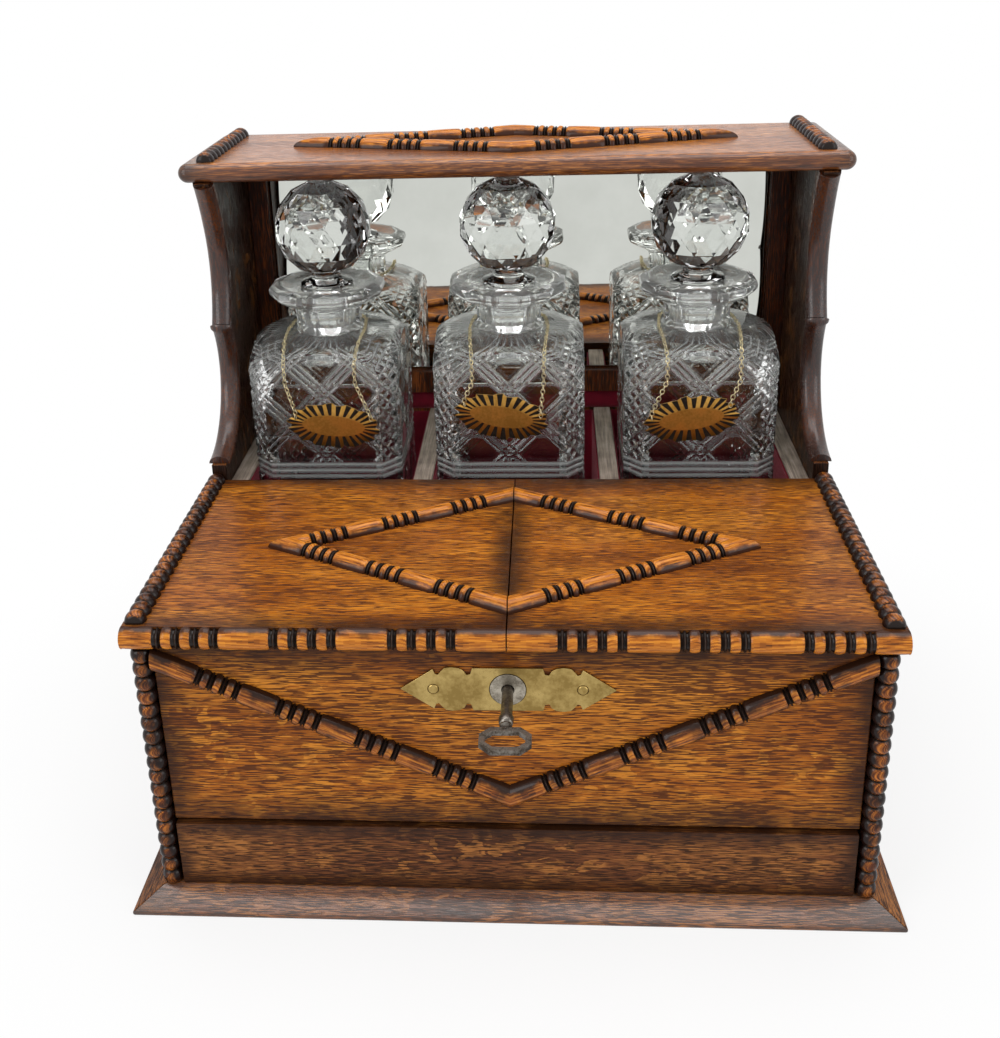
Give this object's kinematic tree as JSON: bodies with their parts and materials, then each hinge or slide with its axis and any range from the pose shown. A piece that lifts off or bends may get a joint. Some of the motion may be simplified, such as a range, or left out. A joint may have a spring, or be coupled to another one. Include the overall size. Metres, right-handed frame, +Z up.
{
  "type": "antique tantalus",
  "caption": "Antique oak tantalus with mirror back, canopy, cut-glass decanters in velvet bays, a lidded front compartment and a base drawer.",
  "frame": {"origin": "middle of the rectangle that the plinth covers, on the surface the case stands on", "axes": "+X to the right as one faces the front, +Y to the back, +Z up"},
  "size_m": [0.369, 0.324, 0.3338],
  "materials": {
    "oak": "glossy polished oak",
    "dark_oak": "glossy dark stained oak",
    "grey_wood": "dull worn wood",
    "velvet": "matt pile",
    "mirror": "polished",
    "glass": "clear, cut and polished",
    "brass": "polished, aged",
    "steel": "worn"
  },
  "bodies": {
    "case": {"plinth_front": "dark_oak", "plinth_left": "dark_oak", "plinth_right": "dark_oak", "base_board": "oak", "side_left": "dark_oak", "side_right": "dark_oak", "edge_moulding_left": "dark_oak", "edge_moulding_right": "dark_oak", "back_board": "dark_oak", "front_panel": "oak", "chevron": "dark_oak", "column_left": "oak", "column_right": "oak", "compartment_floor": "oak", "bay_floor": "oak", "bay_rail": "oak", "bay_dividers": "grey_wood", "bay_liners": "grey_wood", "velvet_bay_1": "velvet", "velvet_bay_2": "velvet", "velvet_bay_3": "velvet", "mirror_glass": "mirror", "mirror_frame": "dark_oak", "canopy": "oak", "canopy_diamond": "dark_oak", "canopy_bobbins": "dark_oak", "drawer_runners": "oak", "hinges_fixed": "brass", "lock_plate": "brass", "lock_pins": "brass", "lock_case": "steel"},
    "left_lid": {"lid_left": "oak", "nosing_left": "oak", "lid_diamond_left": "dark_oak", "lid_bobbins_left": "dark_oak", "hinges_left": "brass", "catch_left": "steel"},
    "right_lid": {"lid_right": "oak", "nosing_right": "oak", "lid_diamond_right": "dark_oak", "lid_bobbins_right": "dark_oak", "hinges_right": "brass", "catch_right": "steel"},
    "drawer": {"drawer_front": "dark_oak", "drawer_box": "oak", "drawer_bottom": "oak"},
    "key": {"key": "steel"},
    "bolt": {"lock_bolt": "steel"},
    "decanter_1": {"decanter_1": "glass", "label_1": "brass", "label_chain_1": "brass"},
    "stopper_1": {"stopper_1": "glass"},
    "decanter_2": {"decanter_2": "glass", "label_2": "brass", "label_chain_2": "brass"},
    "stopper_2": {"stopper_2": "glass"},
    "decanter_3": {"decanter_3": "glass", "label_3": "brass", "label_chain_3": "brass"},
    "stopper_3": {"stopper_3": "glass"}
  },
  "joints": [
    {"name": "left_lid", "type": "hinge", "parent": "case", "child": "left_lid", "pos_m": [-0.1752, 0, 0.1425], "axis": [0, -1, 0], "range_deg": [0, 105]},
    {"name": "right_lid", "type": "hinge", "parent": "case", "child": "right_lid", "pos_m": [0.1752, 0, 0.1425], "axis": [0, 1, 0], "range_deg": [0, 105]},
    {"name": "drawer_slide", "type": "slide", "parent": "case", "child": "drawer", "axis": [0, -1, 0], "range_m": [0, 0.18]},
    {"name": "key_turn", "type": "hinge", "parent": "case", "child": "key", "pos_m": [0, -0.132, 0.1215], "axis": [0, 1, 0], "range_deg": [0, 180]},
    {"name": "bolt_slide", "type": "slide", "parent": "case", "child": "bolt", "axis": [1, 0, 0], "range_m": [0, 0.006]},
    {"name": "decanter_1_lift", "type": "slide", "parent": "case", "child": "decanter_1", "axis": [0, 0, 1], "range_m": [0, 0.002]},
    {"name": "decanter_2_lift", "type": "slide", "parent": "case", "child": "decanter_2", "axis": [0, 0, 1], "range_m": [0, 0.002]},
    {"name": "decanter_3_lift", "type": "slide", "parent": "case", "child": "decanter_3", "axis": [0, 0, 1], "range_m": [0, 0.002]},
    {"name": "stopper_1_lift", "type": "slide", "parent": "decanter_1", "child": "stopper_1", "axis": [0, 0, 1], "range_m": [0, 0.004]},
    {"name": "stopper_2_lift", "type": "slide", "parent": "decanter_2", "child": "stopper_2", "axis": [0, 0, 1], "range_m": [0, 0.004]},
    {"name": "stopper_3_lift", "type": "slide", "parent": "decanter_3", "child": "stopper_3", "axis": [0, 0, 1], "range_m": [0, 0.004]}
  ],
  "couplings": [
    {"joint": "bolt_slide", "follows": "key_turn", "m_per_rad": 0.0019099}
  ]
}
